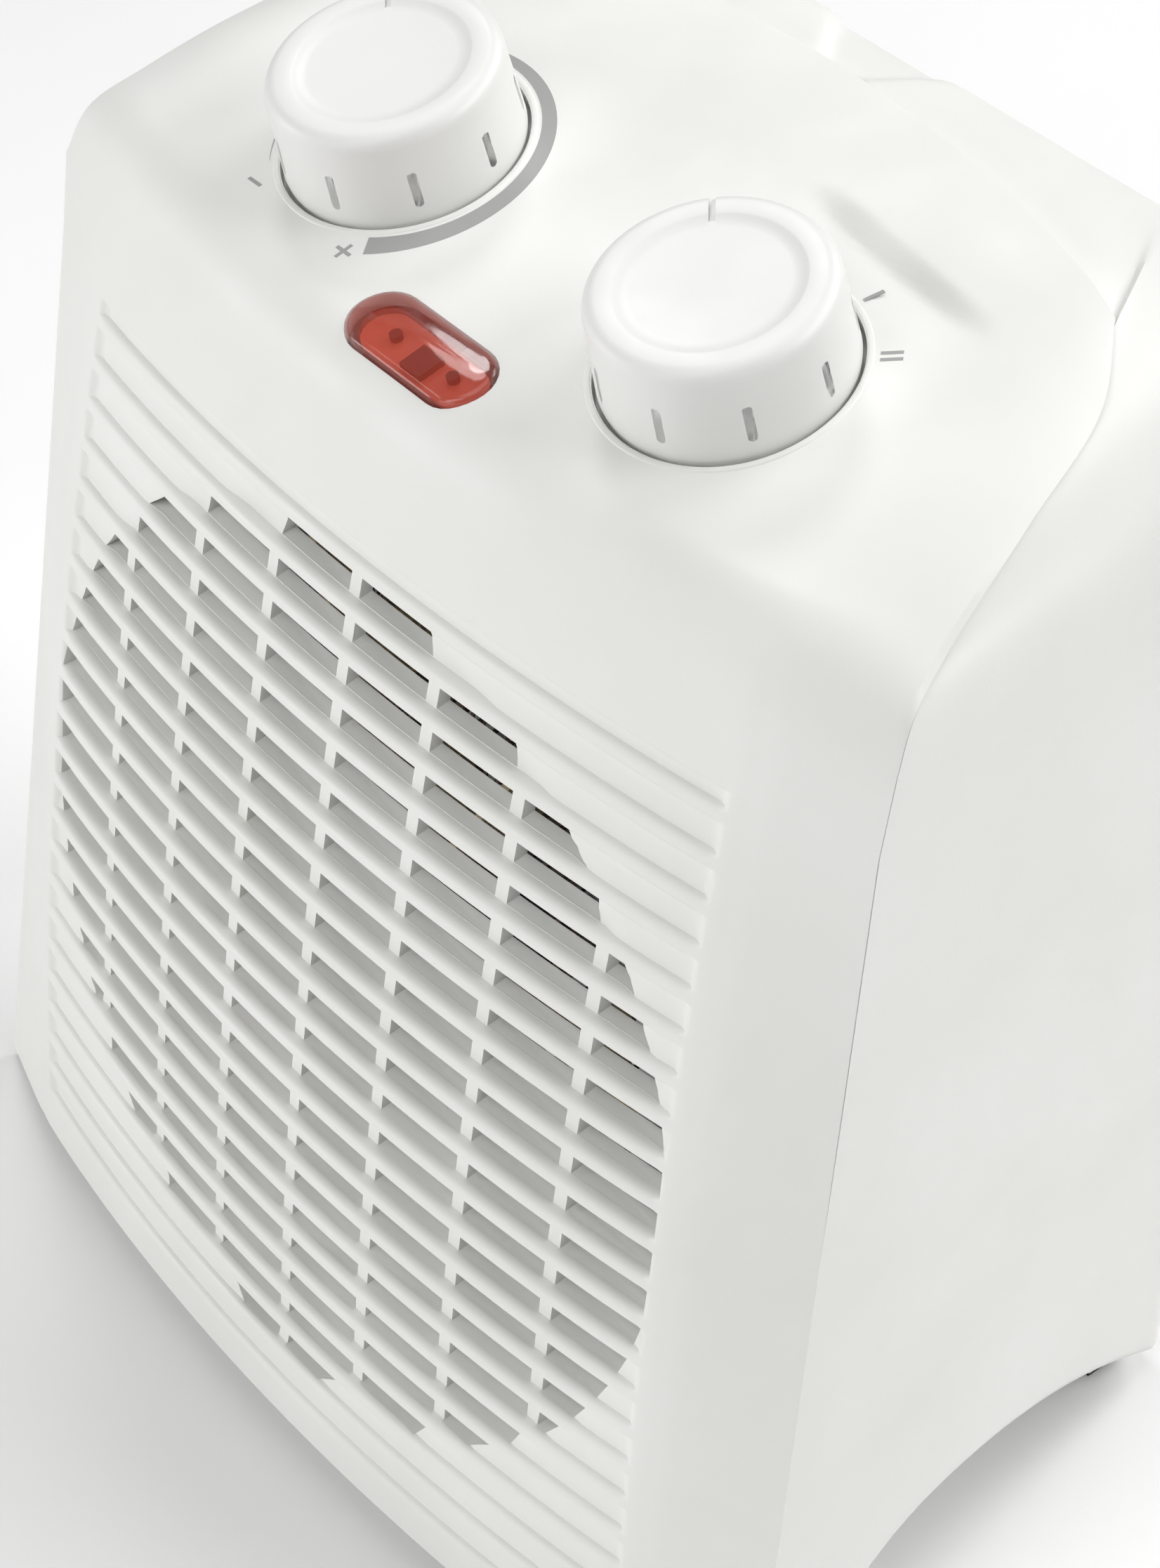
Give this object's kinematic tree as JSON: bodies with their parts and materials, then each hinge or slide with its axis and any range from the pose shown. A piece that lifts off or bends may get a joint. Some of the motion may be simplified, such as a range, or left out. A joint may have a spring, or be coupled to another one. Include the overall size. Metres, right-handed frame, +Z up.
{
  "type": "fan convector heater",
  "caption": "Upright electric fan heater with a leaning louvred front, two rotary knobs and a pilot light on a sloping top, and an axial fan behind a wire element.",
  "frame": {"origin": "on the floor under the middle of the heater's bounding box", "axes": "+Z up, +X to the right of a person facing the grille, -Y out of the louvred front"},
  "size_m": [0.225, 0.1403, 0.2483],
  "materials": {
    "housing_white": "fine satin moulding grain",
    "knob_white": "satin",
    "lens_red": "glossy, translucent",
    "neon_glass": "clear glass with a dark electrode",
    "black_plastic": "satin",
    "sheet_steel": "zinc-plated, satin",
    "motor_steel": "laminated steel",
    "mica": "flaky mica board",
    "resistance_wire": "heat-darkened wire",
    "copper_winding": "enamelled copper",
    "fan_aluminium": "pressed sheet",
    "brass": "turned",
    "rubber": "soft, matt"
  },
  "bodies": {
    "casing": {"front_cover": "housing_white", "rear_housing": "housing_white", "thermostat_body": "black_plastic", "selector_switch": "black_plastic", "control_bracket": "sheet_steel", "pilot_lens": "lens_red", "lamp_holder": "black_plastic", "neon_lamp_left": "neon_glass", "neon_lamp_right": "neon_glass", "housing_screw_1": "sheet_steel", "housing_screw_2": "sheet_steel", "housing_screw_3": "sheet_steel", "housing_screw_4": "sheet_steel", "air_duct": "sheet_steel", "element_frame": "mica", "heating_coil_outer": "resistance_wire", "heating_coil_inner": "resistance_wire", "thermal_cutout": "black_plastic", "thermal_fuse": "sheet_steel", "motor_stator": "motor_steel", "motor_winding": "copper_winding", "bearing_strap_front": "sheet_steel", "bearing_strap_rear": "sheet_steel", "bearing_bush_front": "brass", "bearing_bush_rear": "brass", "motor_stud_left": "sheet_steel", "motor_stud_right": "sheet_steel", "fan_spider": "sheet_steel", "foot_front_left": "rubber", "foot_front_right": "rubber", "foot_rear_left": "rubber", "foot_rear_right": "rubber", "cable_inlet_bush": "black_plastic", "terminal_block": "black_plastic"},
    "thermostat_dial": {"thermostat_knob": "knob_white", "thermostat_shaft": "brass"},
    "selector_dial": {"selector_knob": "knob_white", "selector_shaft": "brass"},
    "fan": {"fan_impeller": "fan_aluminium", "motor_shaft": "motor_steel", "motor_rotor": "motor_steel"}
  },
  "joints": [
    {"name": "thermostat_turn", "type": "hinge", "parent": "casing", "child": "thermostat_dial", "pos_m": [-0.0394, -0.00287, 0.22804], "axis": [0, -0.2419, 0.9703], "range_deg": [-198, 102]},
    {"name": "selector_turn", "type": "hinge", "parent": "casing", "child": "selector_dial", "pos_m": [0.0394, -0.00287, 0.22804], "axis": [0, -0.2419, 0.9703], "range_deg": [-99, 0]},
    {"name": "fan_spin", "type": "hinge", "parent": "casing", "child": "fan", "pos_m": [0, -0.05879, 0.1148], "axis": [0, 0.989, -0.1478], "continuous": true}
  ]
}
